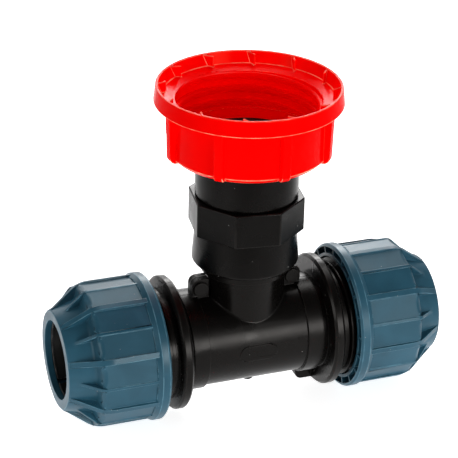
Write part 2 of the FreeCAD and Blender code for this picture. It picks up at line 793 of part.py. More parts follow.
gasket = new_body("flat_gasket")
turned(gasket, "Shape", outline(gasket, "ShapeOutline", [
    (cell.gasket_inner_radius, ZERO),
    (cell.gasket_outer_radius, ZERO),
    (cell.gasket_outer_radius, cell.gasket_thick),
    (cell.gasket_inner_radius, cell.gasket_thick),
]), "V_Axis")
place_on_branch(gasket, coupler_top + adapter_end - cell.gasket_recess)

# Swivel nut. A turned cup with a flared rim, ribs down its outside, teeth in
# the channel inside the rim and a coarse right-hand thread.
swivel = new_body("swivel_nut")
rim_foot = cell.swivel_height - cell.rim_height
ledge = cell.swivel_height - cell.ledge_depth
lead_end = cell.swivel_height - cell.lead_depth
lead_slope = (cell.ledge_radius - cell.coarse_major_radius) / (cell.lead_depth - cell.ledge_depth)
bore_start = lead_end - (cell.coarse_major_radius - cell.coarse_minor_radius) / lead_slope
channel_radius = cell.rim_radius - cell.rim_wall
turned(swivel, "Cup", outline(swivel, "CupOutline", [
    (cell.adapter_radius + cell.swivel_hole_gap, ZERO),
    (cell.swivel_wall_radius - cell.swivel_foot_chamfer, ZERO),
    (cell.swivel_wall_radius, cell.swivel_foot_chamfer),
    (cell.swivel_wall_radius, rim_foot),
    (cell.rim_radius + cell.rim_draft, rim_foot),
    (cell.rim_radius, cell.swivel_height),
    (channel_radius, cell.swivel_height),
    (channel_radius - cell.channel_draft, ledge),
    (cell.ledge_radius, ledge),
    (cell.coarse_minor_radius, bore_start),
    (cell.coarse_minor_radius, cell.swivel_undercut),
    (cell.coarse_major_radius, cell.swivel_undercut),
    (cell.coarse_major_radius, cell.swivel_floor),
    (cell.adapter_radius + cell.swivel_hole_gap, cell.swivel_floor),
]), "V_Axis")
rib = extruded(swivel, "Rib", outline(swivel, "RibOutline", [
    (cell.swivel_wall_radius - cell.swivel_foot_chamfer, cell.swivel_rib_foot),
    (cell.swivel_rib_radius - cell.swivel_rib_draft, cell.swivel_rib_foot, cell.swivel_rib_round),
    (cell.swivel_rib_radius, rim_foot + cell.swivel_rib_root),
    (cell.swivel_wall_radius - cell.swivel_foot_chamfer, rim_foot + cell.swivel_rib_root),
]), cell.swivel_rib_width, midplane=True)
repeated(swivel, "Ribs", [rib], "Z_Axis", cell.swivel_rib_count)

# Each tooth leans back from the channel wall over the lead-in cone.
tooth_outer = channel_radius + cell.rim_wall / 2
lean_across = cosine(cell.tooth_fin_lean)
lean_up = sine(cell.tooth_fin_lean)
tooth_tip_x = tooth_outer - lean_across * cell.tooth_fin_reach
tooth_tip_y = -(lean_up * cell.tooth_fin_reach)
side_x = lean_up * cell.tooth_fin_thick
side_y = -(lean_across * cell.tooth_fin_thick)
tooth = extruded(swivel, "Tooth", outline(swivel, "ToothOutline", [
    (tooth_outer, ZERO),
    (tooth_outer - side_x, ZERO - side_y),
    (tooth_tip_x - side_x, tooth_tip_y - side_y),
    (tooth_tip_x, tooth_tip_y),
], plane="XY_Plane", lift=ledge - cell.tooth_fin_root, turn=cell.tooth_fin_start),
    cell.ledge_depth + cell.tooth_fin_root - cell.tooth_fin_drop)
repeated(swivel, "Teeth", [tooth], "Z_Axis", cell.tooth_fin_count)
place_on_branch(swivel, swivel_start, cell.swivel_turn)

# Check every piece and write it out.
doc.recompute()
for item in doc.Objects:
    if "Invalid" in item.State or "Error" in item.State:
        raise RuntimeError("%s failed: %s" % (item.Label, item.State))
os.makedirs("parts", exist_ok=True)
for item in doc.Objects:
    if item.TypeId != "PartDesign::Body":
        continue
    if item.Shape.isNull() or not item.Shape.isValid() or len(item.Shape.Solids) != 1:
        raise RuntimeError("%s is not one valid solid" % item.Label)
    item.Shape.exportStep("parts/%s.step" % item.Label)
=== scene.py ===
"""A plastic compression tee for pipe, with a swivel nut on its branch."""
import math

import bmesh
import bpy
from mathutils import Matrix, Vector


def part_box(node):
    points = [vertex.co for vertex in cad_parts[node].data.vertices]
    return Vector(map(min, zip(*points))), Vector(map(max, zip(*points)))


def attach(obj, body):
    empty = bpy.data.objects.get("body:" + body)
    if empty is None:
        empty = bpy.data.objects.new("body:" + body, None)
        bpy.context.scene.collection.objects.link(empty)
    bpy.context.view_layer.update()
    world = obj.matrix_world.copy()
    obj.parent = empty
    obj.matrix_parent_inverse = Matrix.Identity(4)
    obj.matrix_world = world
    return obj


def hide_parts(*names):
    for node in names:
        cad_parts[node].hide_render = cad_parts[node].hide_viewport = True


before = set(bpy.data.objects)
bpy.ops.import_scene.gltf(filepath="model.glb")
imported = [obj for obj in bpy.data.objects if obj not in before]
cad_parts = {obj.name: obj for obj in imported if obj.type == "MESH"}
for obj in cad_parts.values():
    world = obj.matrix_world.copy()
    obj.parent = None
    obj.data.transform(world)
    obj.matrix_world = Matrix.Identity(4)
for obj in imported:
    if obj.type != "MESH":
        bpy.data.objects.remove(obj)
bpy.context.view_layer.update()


# Studio.
# The tee stands on a lit strip of a white table, with a pale wall behind it,
# windows in front and at the left, and small strong lamps behind and overhead.
def camera_frame(azimuth, elevation, roll):
    """Right, up and back vectors of a camera that looks at the tee from those angles."""
    back = Vector((math.sin(azimuth) * math.cos(elevation),
                   -math.cos(azimuth) * math.cos(elevation), math.sin(elevation)))
    level = Vector((math.cos(azimuth), math.sin(azimuth), 0))
    upright = back.cross(level)
    right = level * math.cos(roll) + upright * math.sin(roll)
    up = upright * math.cos(roll) - level * math.sin(roll)
    return right, up, back


scene = bpy.context.scene
camera_azimuth = math.radians(-20.693)
camera_elevation = math.radians(26.677)
camera_roll = math.radians(1.355)
right, up, back = camera_frame(camera_azimuth, camera_elevation, camera_roll)
image_width = 458
focal_pixels = 1969.975
view_distance = 0.808526
view_target = Vector((-0.00728, 0, 0.048686))
lens = bpy.data.cameras.new("camera")
lens.sensor_width = 36
lens.lens = lens.sensor_width * focal_pixels / image_width
lens.clip_start = 0.05
lens.clip_end = 20
camera = bpy.data.objects.new("camera", lens)
scene.collection.objects.link(camera)
view_point = view_target + back * view_distance
camera.matrix_world = Matrix((
    (right.x, up.x, back.x, view_point.x),
    (right.y, up.y, back.y, view_point.y),
    (right.z, up.z, back.z, view_point.z),
    (0, 0, 0, 1)))
scene.camera = camera
scene.view_settings.view_transform = "Standard"

room = bpy.data.worlds.new("room")
scene.world = room
room.use_nodes = True
room_nodes = room.node_tree.nodes
room_links = room.node_tree.links
wall_grey = 0.35
wall_end = 0.35
ceiling_grey = 0.12
ceiling_start = 0.75
direction = room_nodes.new("ShaderNodeTexCoord")
height = room_nodes.new("ShaderNodeSeparateXYZ")
ceiling = room_nodes.new("ShaderNodeValToRGB")
low_stop, high_stop = ceiling.color_ramp.elements
low_stop.position = wall_end
low_stop.color = (wall_grey, wall_grey, wall_grey, 1)
high_stop.position = ceiling_start
high_stop.color = (ceiling_grey, ceiling_grey, ceiling_grey, 1)
room_links.new(direction.outputs["Generated"], height.inputs["Vector"])
room_links.new(height.outputs["Z"], ceiling.inputs["Fac"])
room_links.new(ceiling.outputs["Color"], room_nodes["Background"].inputs["Color"])
lamps_aim = Vector((0, 0, 0.05))


def softbox(name, place, width, height, brightness, beam):
    """A rectangle of light aimed at the tee. Its brightness is that along the middle of its beam."""
    half_beam = math.radians(beam) / 2
    light = bpy.data.lights.new(name, "AREA")
    light.shape = "RECTANGLE"
    light.size = width
    light.size_y = height
    light.spread = half_beam * 2
    light.energy = brightness * math.pi * width * height * (1 - half_beam / math.tan(half_beam))
    lamp = bpy.data.objects.new(name, light)
    scene.collection.objects.link(lamp)
    lamp.location = place
    lamp.rotation_euler = (lamps_aim - Vector(place)).to_track_quat("-Z", "Y").to_euler()


softbox("back_wall", (0.20, 1.10, 0.45), width=1.6, height=0.8, brightness=1.8, beam=170)
softbox("front_window", (0.40, -1.10, 0.24), width=0.60, height=0.40, brightness=17.0, beam=50)
softbox("back_lamp", (0.377, 0.808, 0.44), width=0.45, height=0.28, brightness=12.5, beam=60)
softbox("overhead_lamp", (0.20, 0.45, 1.00), width=0.50, height=0.50, brightness=8.5, beam=60)
softbox("left_window", (-1.10, -0.30, 0.35), width=0.50, height=0.50, brightness=5.2, beam=60)

table_half = 2
table_height = -0.031
corner_signs = ((-1, -1), (1, -1), (1, 1), (-1, 1))
table_corners = [(x * table_half, y * table_half, table_height) for x, y in corner_signs]
table_mesh = bpy.data.meshes.new("table")
table_mesh.from_pydata(table_corners, [], [(0, 1, 2, 3)])
table = bpy.data.objects.new("table", table_mesh)
scene.collection.objects.link(table)
table_top = bpy.data.materials.new("lit_white_table")
table_top.use_nodes = True
table_shader = table_top.node_tree.nodes["Principled BSDF"]
table_shader.inputs["Base Color"].default_value = (0.9, 0.9, 0.9, 1)
table_shader.inputs["Roughness"].default_value = 0.9
table_shader.inputs["Emission Strength"].default_value = 0.75
table_nodes = table_top.node_tree.nodes
table_links = table_top.node_tree.links
table_place = table_nodes.new("ShaderNodeTexCoord")


def strip_edge(direction, dark, lit):
    """How strongly the lit strip glows across one of its soft edges, from dark to lit."""
    place = table_nodes.new("ShaderNodeVectorMath")
    place.operation = "DOT_PRODUCT"
    place.inputs[1].default_value = direction
    table_links.new(table_place.outputs["Object"], place.inputs[0])
    glow = table_nodes.new("ShaderNodeMapRange")
    glow.interpolation_type = "SMOOTHSTEP"
    glow.inputs["From Min"].default_value = dark
    glow.inputs["From Max"].default_value = lit
    table_links.new(place.outputs["Value"], glow.inputs["Value"])
    return glow.outputs["Result"]


# The strip runs away from the camera, which sees the tee against it. The table in
# front and at the sides, which the black plastic mirrors, is dimmer.
front_dark = -0.25
front_lit = -0.08
side_dark = -0.24
side_lit = -0.15
strip_glow = strip_edge((0, 1, 0), front_dark, front_lit)
for sign in (1, -1):
    across_view = (sign * right.x, sign * right.y, 0)
    joined = table_nodes.new("ShaderNodeMath")
    joined.operation = "MULTIPLY"
    table_links.new(strip_glow, joined.inputs[0])
    table_links.new(strip_edge(across_view, side_dark, side_lit), joined.inputs[1])
    strip_glow = joined.outputs["Value"]
table_links.new(strip_glow, table_shader.inputs["Emission Color"])
table_mesh.materials.append(table_top)


# Tee body.
# One injection moulding of black polypropylene: the run with a threaded end on
# each side, its flanges and lugs, and the neck of the branch. The mould's two
# halves met in the plane through both axes and left a fine seam there.
same_point = 2e-6
flattened_point = 2e-5
flat_enough = math.radians(0.3)


def joined_copy(node, reshape=None):
    """A copy of a CAD node's mesh with its loose triangles joined.

    reshape gets the mesh first, so that what it flattens is dropped.
    """
    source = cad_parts[node]
    mesh = bpy.data.meshes.new(node + "_moulding")
    work = bmesh.new()
    work.from_mesh(source.data)
    bmesh.ops.remove_doubles(work, verts=work.verts, dist=same_point)
    if reshape:
        reshape(work)
        bmesh.ops.remove_doubles(work, verts=work.verts, dist=flattened_point)
        bmesh.ops.dissolve_degenerate(work, edges=work.edges, dist=same_point)
    bmesh.ops.dissolve_limit(work, angle_limit=flat_enough, verts=work.verts, edges=work.edges)
    for face in work.faces:
        face.smooth = True
    work.to_mesh(mesh)
    work.free()
    mesh.materials.clear()
    return mesh


def between(value, ends):
    """Whether a value lies between two others."""
    return ends[0] < value < ends[1]


faces_up = 0.25
faces_down = -0.12
hollow_tilt = (0.15, 0.99)


def mark_rubbed_and_lit(mesh, wear_and_highlight):
    """Mark how pale each rounded strip along an edge is painted, in a face attribute: partly
    rubbing, partly a painted highlight.

    The strips are the faces that the rounding gave the second material. wear_and_highlight is
    how pale the outward ones that face up, sideways and down get, a painted highlight that
    depends on which way they face, and the sloping ones inside a corner, a painted highlight in the
    hollow.
    """
    upward, sideways, downward, hollow = wear_and_highlight
    shape = bmesh.new()
    shape.from_mesh(mesh)
    rubbed_and_lit = mesh.attributes.new("rubbed_and_lit", "FLOAT", "FACE")
    for number, face in enumerate(shape.faces):
        turns = [edge.calc_face_angle_signed(0) for edge in face.edges]
        tilt = face.normal.z
        share = 0.0
        if face.material_index == 1 and max(turns) > -min(turns):
            share = upward if tilt > faces_up else downward if tilt < faces_down else sideways
        elif face.material_index == 1 and between(abs(tilt), hollow_tilt):
            share = hollow
        rubbed_and_lit.data[number].value = share
        mesh.polygons[number].material_index = 0
    shape.free()


sharp_edge = math.radians(40)
rounded_edge = math.radians(28)
# Every outward strip gets the full mark of rubbing and painted highlight, the hollow ones none.
even_wear_and_highlight = (1.0, 1.0, 1.0, 0.0)


def moulding(node, body, material, rounding, reshape=None, wear_and_highlight=even_wear_and_highlight):
    """A CAD node as a moulded piece: its edges rounded and its surface finished.

    The roundings aren't clamped, because the smallest edge of a large moulding
    would then narrow them all to nothing.
    """
    shape = bpy.data.objects.new(node, joined_copy(node, reshape))
    shape.data.set_sharp_from_angle(angle=sharp_edge)
    scene.collection.objects.link(shape)
    for surface in ("faces", "strips"):
        shape.data.materials.append(material)
    bevel = shape.modifiers.new("rounding", "BEVEL")
    bevel.width = rounding
    bevel.segments = 3
    bevel.limit_method = "ANGLE"
    bevel.angle_limit = rounded_edge
    bevel.harden_normals = True
    bevel.use_clamp_overlap = False
    # The rounded strips take the second material, which marks them for rubbing and painted
    # highlight.
    bevel.material = 1
    flatten = shape.modifiers.new("flat_faces", "WEIGHTED_NORMAL")
    flatten.keep_sharp = True
    graph = bpy.context.evaluated_depsgraph_get()
    mesh = bpy.data.meshes.new_from_object(shape.evaluated_get(graph), depsgraph=graph)
    bpy.data.objects.remove(shape)
    mark_rubbed_and_lit(mesh, wear_and_highlight)
    mesh.materials.pop(index=1)
    piece = bpy.data.objects.new(node + "_moulding", mesh)
    scene.collection.objects.link(piece)
    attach(piece, body)
    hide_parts(node)
    return piece


def group_ends(name, given, made):
    """A shader node group with its named inputs and outputs, and its two end nodes."""
    group = bpy.data.node_groups.new(name, "ShaderNodeTree")
    for label, kind, value in given:
        socket = group.interface.new_socket(label, in_out="INPUT", socket_type=kind)
        socket.default_value = value
    for label, kind in made:
        group.interface.new_socket(label, in_out="OUTPUT", socket_type=kind)
    return group, group.nodes.new("NodeGroupInput"), group.nodes.new("NodeGroupOutput")


def calculate(nodes, links, operation, first, second):
    """One sum of two sockets or numbers inside a node tree."""
    node = nodes.new("ShaderNodeMath")
    node.operation = operation
    for socket, value in zip(node.inputs, (first, second)):
        if isinstance(value, (int, float)):
            socket.default_value = value
        else:
            links.new(value, socket)
    return node.outputs["Value"]


def spread(nodes, links, value, low, high, to_low, to_high):
    """Map a value from one range to another with soft ends."""
    node = nodes.new("ShaderNodeMapRange")
    node.interpolation_type = "SMOOTHSTEP"
    links.new(value, node.inputs["Value"])
    limits = {"From Min": low, "From Max": high, "To Min": to_low, "To Max": to_high}
    for label, limit in limits.items():
        if isinstance(limit, (int, float)):
            node.inputs[label].default_value = limit
        else:
            links.new(limit, node.inputs[label])
    return node.outputs["Result"]


def make_moulded_skin():
    """Cloudy colour and gloss from the plastic's flow, over the fine grain of the steel mould."""
    group, given, made = group_ends(
        "moulded_skin",
        (("Colour", "NodeSocketColor", (0.5, 0.5, 0.5, 1)), ("Cloud", "NodeSocketFloat", 0.1),
         ("Roughness", "NodeSocketFloat", 0.4), ("Gloss Change", "NodeSocketFloat", 0.1),
         ("Cloud Scale", "NodeSocketFloat", 60), ("Grain Scale", "NodeSocketFloat", 1500)),
        (("Colour", "NodeSocketColor"), ("Roughness", "NodeSocketFloat"),
         ("Height", "NodeSocketFloat")))
    nodes = group.nodes
    links = group.links
    colour_cloud = (0.3, 0.7)
    gloss_cloud = (0.35, 0.65)
    place = nodes.new("ShaderNodeTexCoord")
    cloud = nodes.new("ShaderNodeTexNoise")
    cloud.inputs["Detail"].default_value = 5
    cloud.inputs["Distortion"].default_value = 0.8
    links.new(place.outputs["Object"], cloud.inputs["Vector"])
    links.new(given.outputs["Cloud Scale"], cloud.inputs["Scale"])
    darker = calculate(nodes, links, "SUBTRACT", 1.0, given.outputs["Cloud"])
    lighter = calculate(nodes, links, "ADD", 1.0, given.outputs["Cloud"])
    shade = spread(nodes, links, cloud.outputs["Fac"], *colour_cloud, darker, lighter)
    coloured = nodes.new("ShaderNodeVectorMath")
    coloured.operation = "SCALE"
    links.new(given.outputs["Colour"], coloured.inputs["Vector"])
    links.new(shade, coloured.inputs["Scale"])
    links.new(coloured.outputs["Vector"], made.inputs["Colour"])
    usual = given.outputs["Roughness"]
    change = given.outputs["Gloss Change"]
    smoother = calculate(nodes, links, "SUBTRACT", usual, change)
    rougher = calculate(nodes, links, "ADD", usual, change)
    gloss = spread(nodes, links, cloud.outputs["Fac"], *gloss_cloud, smoother, rougher)
    links.new(gloss, made.inputs["Roughness"])
    grain = nodes.new("ShaderNodeTexNoise")
    grain.inputs["Detail"].default_value = 2
    links.new(place.outputs["Object"], grain.inputs["Vector"])
    links.new(given.outputs["Grain Scale"], grain.inputs["Scale"])
    links.new(grain.outputs["Fac"], made.inputs["Height"])
    return group


def make_rubbed_and_lit_edge():
    """Where an edge is painted pale, unevenly along its length: partly rubbed in handling, partly a
    painted highlight.
    """
    group, given, made = group_ends(
        "rubbed_and_lit_edge", (("Amount", "NodeSocketFloat", 0.5),), (("Rubbed And Lit", "NodeSocketFloat"),))
    nodes = group.nodes
    links = group.links
    patch_ends = (0.38, 0.62)
    least_rubbed_and_lit = 0.35
    edge = nodes.new("ShaderNodeAttribute")
    edge.attribute_name = "rubbed_and_lit"
    place = nodes.new("ShaderNodeTexCoord")
    patch = nodes.new("ShaderNodeTexNoise")
    patch.inputs["Scale"].default_value = 240
    patch.inputs["Detail"].default_value = 3
    links.new(place.outputs["Object"], patch.inputs["Vector"])
    uneven = spread(nodes, links, patch.outputs["Fac"], *patch_ends, least_rubbed_and_lit, 1.0)
    rubbed_and_lit = calculate(nodes, links, "MULTIPLY", edge.outputs["Fac"], uneven)
    share = calculate(nodes, links, "MULTIPLY", rubbed_and_lit, given.outputs["Amount"])
    links.new(share, made.inputs["Rubbed And Lit"])
    return group


def make_dust_specks():
    """Small pale specks of dust, thinly scattered."""
    group, given, made = group_ends(
        "dust_specks",
        (("Density", "NodeSocketFloat", 0.1), ("Size", "NodeSocketFloat", 0.12)),
        (("Speck", "NodeSocketFloat"),))
    nodes = group.nodes
    links = group.links
    place = nodes.new("ShaderNodeTexCoord")
    cells = nodes.new("ShaderNodeTexVoronoi")
    cells.inputs["Scale"].default_value = 420
    links.new(place.outputs["Object"], cells.inputs["Vector"])
    speck = spread(nodes, links, cells.outputs["Distance"], given.outputs["Size"], 0.0, 0.0, 1.0)
    chance = nodes.new("ShaderNodeSeparateColor")
    links.new(cells.outputs["Color"], chance.inputs["Color"])
    kept = calculate(nodes, links, "LESS_THAN", chance.outputs["Red"], given.outputs["Density"])
    links.new(calculate(nodes, links, "MULTIPLY", speck, kept), made.inputs["Speck"])
    return group


moulded_skin = make_moulded_skin()
rubbed_and_lit_edge = make_rubbed_and_lit_edge()
dust_specks = make_dust_specks()


def placed_group(nodes, group, **values):
    """A shader group placed in a material with its own values."""
    node = nodes.new("ShaderNodeGroup")
    node.node_tree = group
    for label, value in values.items():
        node.inputs[label.replace("_", " ")].default_value = value
    return node


def mixed(nodes, links, share, first, second):
    """One colour laid over another by a mask."""
    node = nodes.new("ShaderNodeMix")
    node.data_type = "RGBA"
    links.new(share, node.inputs["Factor"])
    links.new(first, node.inputs["A"])
    node.inputs["B"].default_value = (*second, 1)
    return node.outputs["Result"]


dust_grey = (0.45, 0.45, 0.43)
grain_depth = 0.0002
seam_foot = 0.0005
seam_crest = 0.0002
seam_height = 0.0003


def plastic(name, colour, roughness, shine, tint=(1, 1, 1), cloud=0.10, gloss_change=0.05,
            rubbed_and_lit=(0.5, 0.5, 0.5), rub_and_highlight=0.2, dust=0.0, grain=0.03, seam=False):
    """Moulded plastic or rubber with its clouding, grain, edges painted pale (rubbing and painted
    highlight), dust and seam.
    """
    material = bpy.data.materials.new(name)
    material.use_nodes = True
    nodes = material.node_tree.nodes
    links = material.node_tree.links
    shader = nodes["Principled BSDF"]
    skin = placed_group(nodes, moulded_skin, Colour=(*colour, 1), Cloud=cloud,
                        Roughness=roughness, Gloss_Change=gloss_change)
    edge = placed_group(nodes, rubbed_and_lit_edge, Amount=rub_and_highlight)
    # Edge strips turn paler: partly rubbed, partly a painted highlight.
    result = mixed(nodes, links, edge.outputs["Rubbed And Lit"], skin.outputs["Colour"], rubbed_and_lit)
    if dust:
        specks = placed_group(nodes, dust_specks, Density=dust)
        result = mixed(nodes, links, specks.outputs["Speck"], result, dust_grey)
    links.new(result, shader.inputs["Base Color"])
    links.new(skin.outputs["Roughness"], shader.inputs["Roughness"])
    shader.inputs["Specular IOR Level"].default_value = shine
    shader.inputs["Specular Tint"].default_value = (*tint, 1)
    grain_bump = nodes.new("ShaderNodeBump")
    grain_bump.inputs["Strength"].default_value = grain
    grain_bump.inputs["Distance"].default_value = grain_depth
    links.new(skin.outputs["Height"], grain_bump.inputs["Height"])
    links.new(grain_bump.outputs["Normal"], shader.inputs["Normal"])
    if seam:
        place = nodes.new("ShaderNodeTexCoord")
        across = nodes.new("ShaderNodeSeparateXYZ")
        links.new(place.outputs["Object"], across.inputs["Vector"])
        off_seam = calculate(nodes, links, "ABSOLUTE", across.outputs["Y"], 0)
        raised = spread(nodes, links, off_seam, seam_foot, seam_crest, 0.0, 1.0)
        seam_bump = nodes.new("ShaderNodeBump")
        seam_bump.inputs["Distance"].default_value = seam_height
        links.new(raised, seam_bump.inputs["Height"])
        links.new(grain_bump.outputs["Normal"], seam_bump.inputs["Normal"])
        links.new(seam_bump.outputs["Normal"], shader.inputs["Normal"])
    return material


thinnest_end = 0.03


def make_thread_tree():
    """Geometry nodes that wind a ridge with a rounded crest round Z, thinned out at both ends."""
    tree = bpy.data.node_groups.new("wound_thread", "GeometryNodeTree")
    for label in ("Root Radius", "Crest Reach", "Buried", "Foot Width", "Crest Width",
                  "Rounding", "Pitch", "Start", "Turns", "Run Out"):
        tree.interface.new_socket(label, in_out="INPUT", socket_type="NodeSocketFloat")
    tree.interface.new_socket("Steps", in_out="INPUT", socket_type="NodeSocketInt")
    tree.interface.new_socket("Plastic", in_out="INPUT", socket_type="NodeSocketMaterial")
    tree.interface.new_socket("Thread", in_out="OUTPUT", socket_type="NodeSocketGeometry")
    nodes = tree.nodes
    links = tree.links
    given = nodes.new("NodeGroupInput").outputs
    helix = nodes.new("GeometryNodeCurveSpiral")
    helix.inputs["Reverse"].default_value = True
    links.new(given["Steps"], helix.inputs["Resolution"])
    links.new(given["Turns"], helix.inputs["Rotations"])
    links.new(given["Root Radius"], helix.inputs["Start Radius"])
    links.new(given["Root Radius"], helix.inputs["End Radius"])
    rise = calculate(nodes, links, "MULTIPLY", given["Pitch"], given["Turns"])
    links.new(rise, helix.inputs["Height"])
    upright = nodes.new("GeometryNodeSetCurveNormal")
    upright.mode = "Z_UP"
    links.new(helix.outputs["Curve"], upright.inputs["Curve"])
    section = nodes.new("GeometryNodeCurvePrimitiveQuadrilateral")
    section.mode = "POINTS"
    half_foot = calculate(nodes, links, "DIVIDE", given["Foot Width"], 2)
    half_crest = calculate(nodes, links, "DIVIDE", given["Crest Width"], 2)
    low_foot = calculate(nodes, links, "MULTIPLY", half_foot, -1)
    low_crest = calculate(nodes, links, "MULTIPLY", half_crest, -1)
    corners = ((given["Buried"], low_foot), (given["Crest Reach"], low_crest),
               (given["Crest Reach"], half_crest), (given["Buried"], half_foot))
    for number, (reach, level) in enumerate(corners, 1):
        corner = nodes.new("ShaderNodeCombineXYZ")
        links.new(reach, corner.inputs["X"])
        links.new(level, corner.inputs["Y"])
        links.new(corner.outputs["Vector"], section.inputs["Point %d" % number])
    softened = nodes.new("GeometryNodeFilletCurve")
    softened.mode = "POLY"
    softened.inputs["Count"].default_value = 4
    softened.inputs["Limit Radius"].default_value = True
    links.new(section.outputs["Curve"], softened.inputs["Curve"])
    links.new(given["Rounding"], softened.inputs["Radius"])
    along = nodes.new("GeometryNodeSplineParameter").outputs["Factor"]
    from_end = calculate(nodes, links, "SUBTRACT", 1, along)
    nearest = calculate(nodes, links, "MINIMUM", along, from_end)
    thinned = spread(nodes, links, nearest, 0.0, given["Run Out"], thinnest_end, 1.0)
    ridge = nodes.new("GeometryNodeCurveToMesh")
    ridge.inputs["Fill Caps"].default_value = True
    links.new(upright.outputs["Curve"], ridge.inputs["Curve"])
    links.new(softened.outputs["Curve"], ridge.inputs["Profile Curve"])
    links.new(thinned, ridge.inputs["Scale"])
    lift = nodes.new("ShaderNodeCombineXYZ")
    links.new(given["Start"], lift.inputs["Z"])
    raised = nodes.new("GeometryNodeTransform")
    links.new(ridge.outputs["Mesh"], raised.inputs["Geometry"])
    links.new(lift.outputs["Vector"], raised.inputs["Translation"])
    real = nodes.new("GeometryNodeRealizeInstances")
    links.new(raised.outputs["Geometry"], real.inputs["Geometry"])
    finished = nodes.new("GeometryNodeSetMaterial")
    links.new(real.outputs["Geometry"], finished.inputs["Geometry"])
    links.new(given["Plastic"], finished.inputs["Material"])
    links.new(finished.outputs["Geometry"], nodes.new("NodeGroupOutput").inputs["Thread"])
    return tree


thread_tree = make_thread_tree()
same_ridge_point = 1e-7
sharp_ridge = math.radians(50)


def wound_thread(name, material, sizes):
    """One thread wound by the nodes and kept as a plain mesh, with no rubbing or painted highlight
    on its edges.
    """
    blank = bpy.data.objects.new(name, bpy.data.meshes.new(name))
    scene.collection.objects.link(blank)
    winding = blank.modifiers.new("winding", "NODES")
    winding.node_group = thread_tree
    settings = dict(sizes, Plastic=material)
    for socket in thread_tree.interface.items_tree:
        if socket.name in settings:
            winding[socket.identifier] = settings[socket.name]
    graph = bpy.context.evaluated_depsgraph_get()
    mesh = bpy.data.meshes.new_from_object(blank.evaluated_get(graph), depsgraph=graph)
    bpy.data.objects.remove(blank)
    mesh.name = name
    work = bmesh.new()
    work.from_mesh(mesh)
    bmesh.ops.remove_doubles(work, verts=work.verts, dist=same_ridge_point)
    bmesh.ops.recalc_face_normals(work, faces=work.faces)
    for face in work.faces:
        face.smooth = True
    work.to_mesh(mesh)
    work.free()
    mesh.set_sharp_from_angle(angle=sharp_ridge)
    mesh.attributes.new("rubbed_and_lit", "FLOAT", "FACE")
    return mesh


def along_run(mesh, side):
    """Lay a mesh made round Z along the run, pointing out of the right or left end."""
    turn = Matrix(((0, 0, 1, 0), (1, 0, 0, 0), (0, 1, 0, 0), (0, 0, 0, 1)))
    if side == "left":
        turn = Matrix.Rotation(math.pi, 4, "Z") @ turn
    mesh.transform(turn)
    return mesh


def added(mesh, name, body):
    """A thread of its own on the body that carries it."""
    piece = bpy.data.objects.new(name, mesh)
    scene.collection.objects.link(piece)
    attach(piece, body)
    return piece


outside_crest = 0.0252
outside_root = 0.0235
thread_pitch = 0.0036
threaded_span = (0.0370, 0.0528)
crest_margin = 1e-4


def bare_thread_ends(work):
    """Take the run's ends down from the crest of their threads to the root."""
    for point in work.verts:
        radius = math.hypot(point.co.y, point.co.z)
        on_crest = abs(radius - outside_crest) < crest_margin
        if on_crest and between(abs(point.co.x), threaded_span):
            point.co.y *= outside_root / radius
            point.co.z *= outside_root / radius


warm_tint = (1, 0.96, 0.92)
# The black's pale edge colour, of rubbing and painted highlight.
rubbed_and_lit_black = (0.05, 0.045, 0.04)
black_body = plastic("black_polypropylene", colour=(0.0022, 0.0019, 0.0017), roughness=0.28,
                     shine=0.13, tint=warm_tint, rubbed_and_lit=rubbed_and_lit_black, rub_and_highlight=0.15, dust=0.05,
                     seam=True)
moulding("tee_body", "tee", black_body, rounding=0.00022,
         reshape=bare_thread_ends)
outside_thread = {"Root Radius": outside_root, "Crest Reach": outside_crest - outside_root,
                  "Buried": -0.0004, "Foot Width": 0.0028, "Crest Width": 0.0009,
                  "Rounding": 0.0003, "Pitch": thread_pitch, "Start": 0.0384, "Turns": 4.0,
                  "Run Out": 0.08, "Steps": 72}
for side in ("left", "right"):
    name = side + "_outside_thread"
    ridge = along_run(wound_thread(name, black_body, outside_thread), side)
    added(ridge, name, "tee")


# Coupler and adapter.
# Two more black mouldings on the branch: the coupler grips the neck of the tee
# with its octagon, and the adapter pushed into it ends in the flange that
# holds the swivel nut.
black_coupler = plastic("black_coupler_plastic", colour=(0.0018, 0.0016, 0.0015), roughness=0.27,
                        shine=0.115, tint=warm_tint, rubbed_and_lit=rubbed_and_lit_black, rub_and_highlight=0.12, dust=0.04)
moulding("branch_socket", "tee", black_coupler, rounding=0.0005)
moulding("outlet_adapter", "tee", black_coupler, rounding=0.0004)


# Gasket and seals.
# Rings cut or moulded from black rubber, duller than the plastic: a flat one in
# the adapter's flange, and one in each mouth of the run.
# Its edges are faintly paler grey, of rubbing and painted highlight.
rubber = plastic("black_rubber", colour=(0.008, 0.008, 0.008), roughness=0.6, shine=0.2,
                 rub_and_highlight=0.05, grain=0.06)
for ring in ("flat_gasket", "left_seal_ring", "right_seal_ring"):
    moulding(ring, "tee", rubber, rounding=0.0003)


# Swivel nut.
# A cup moulded from bright red plastic, free to turn on the adapter. Its coarse
# thread ends at the lead-in cone. It glows a little all over: painted light that lightens
# the cup, its shaded inside most visibly, standing in for light through its thin wall.
# Its edges are painted pale orange, mostly a painted highlight, partly rubbing.
red = plastic("red_plastic", colour=(0.90, 0.0002, 0.0002), roughness=0.20, shine=0.035,
              tint=(1, 0.40, 0.20), cloud=0.04, rubbed_and_lit=(1.0, 0.58, 0.34), rub_and_highlight=0.8)
red_shader = red.node_tree.nodes["Principled BSDF"]
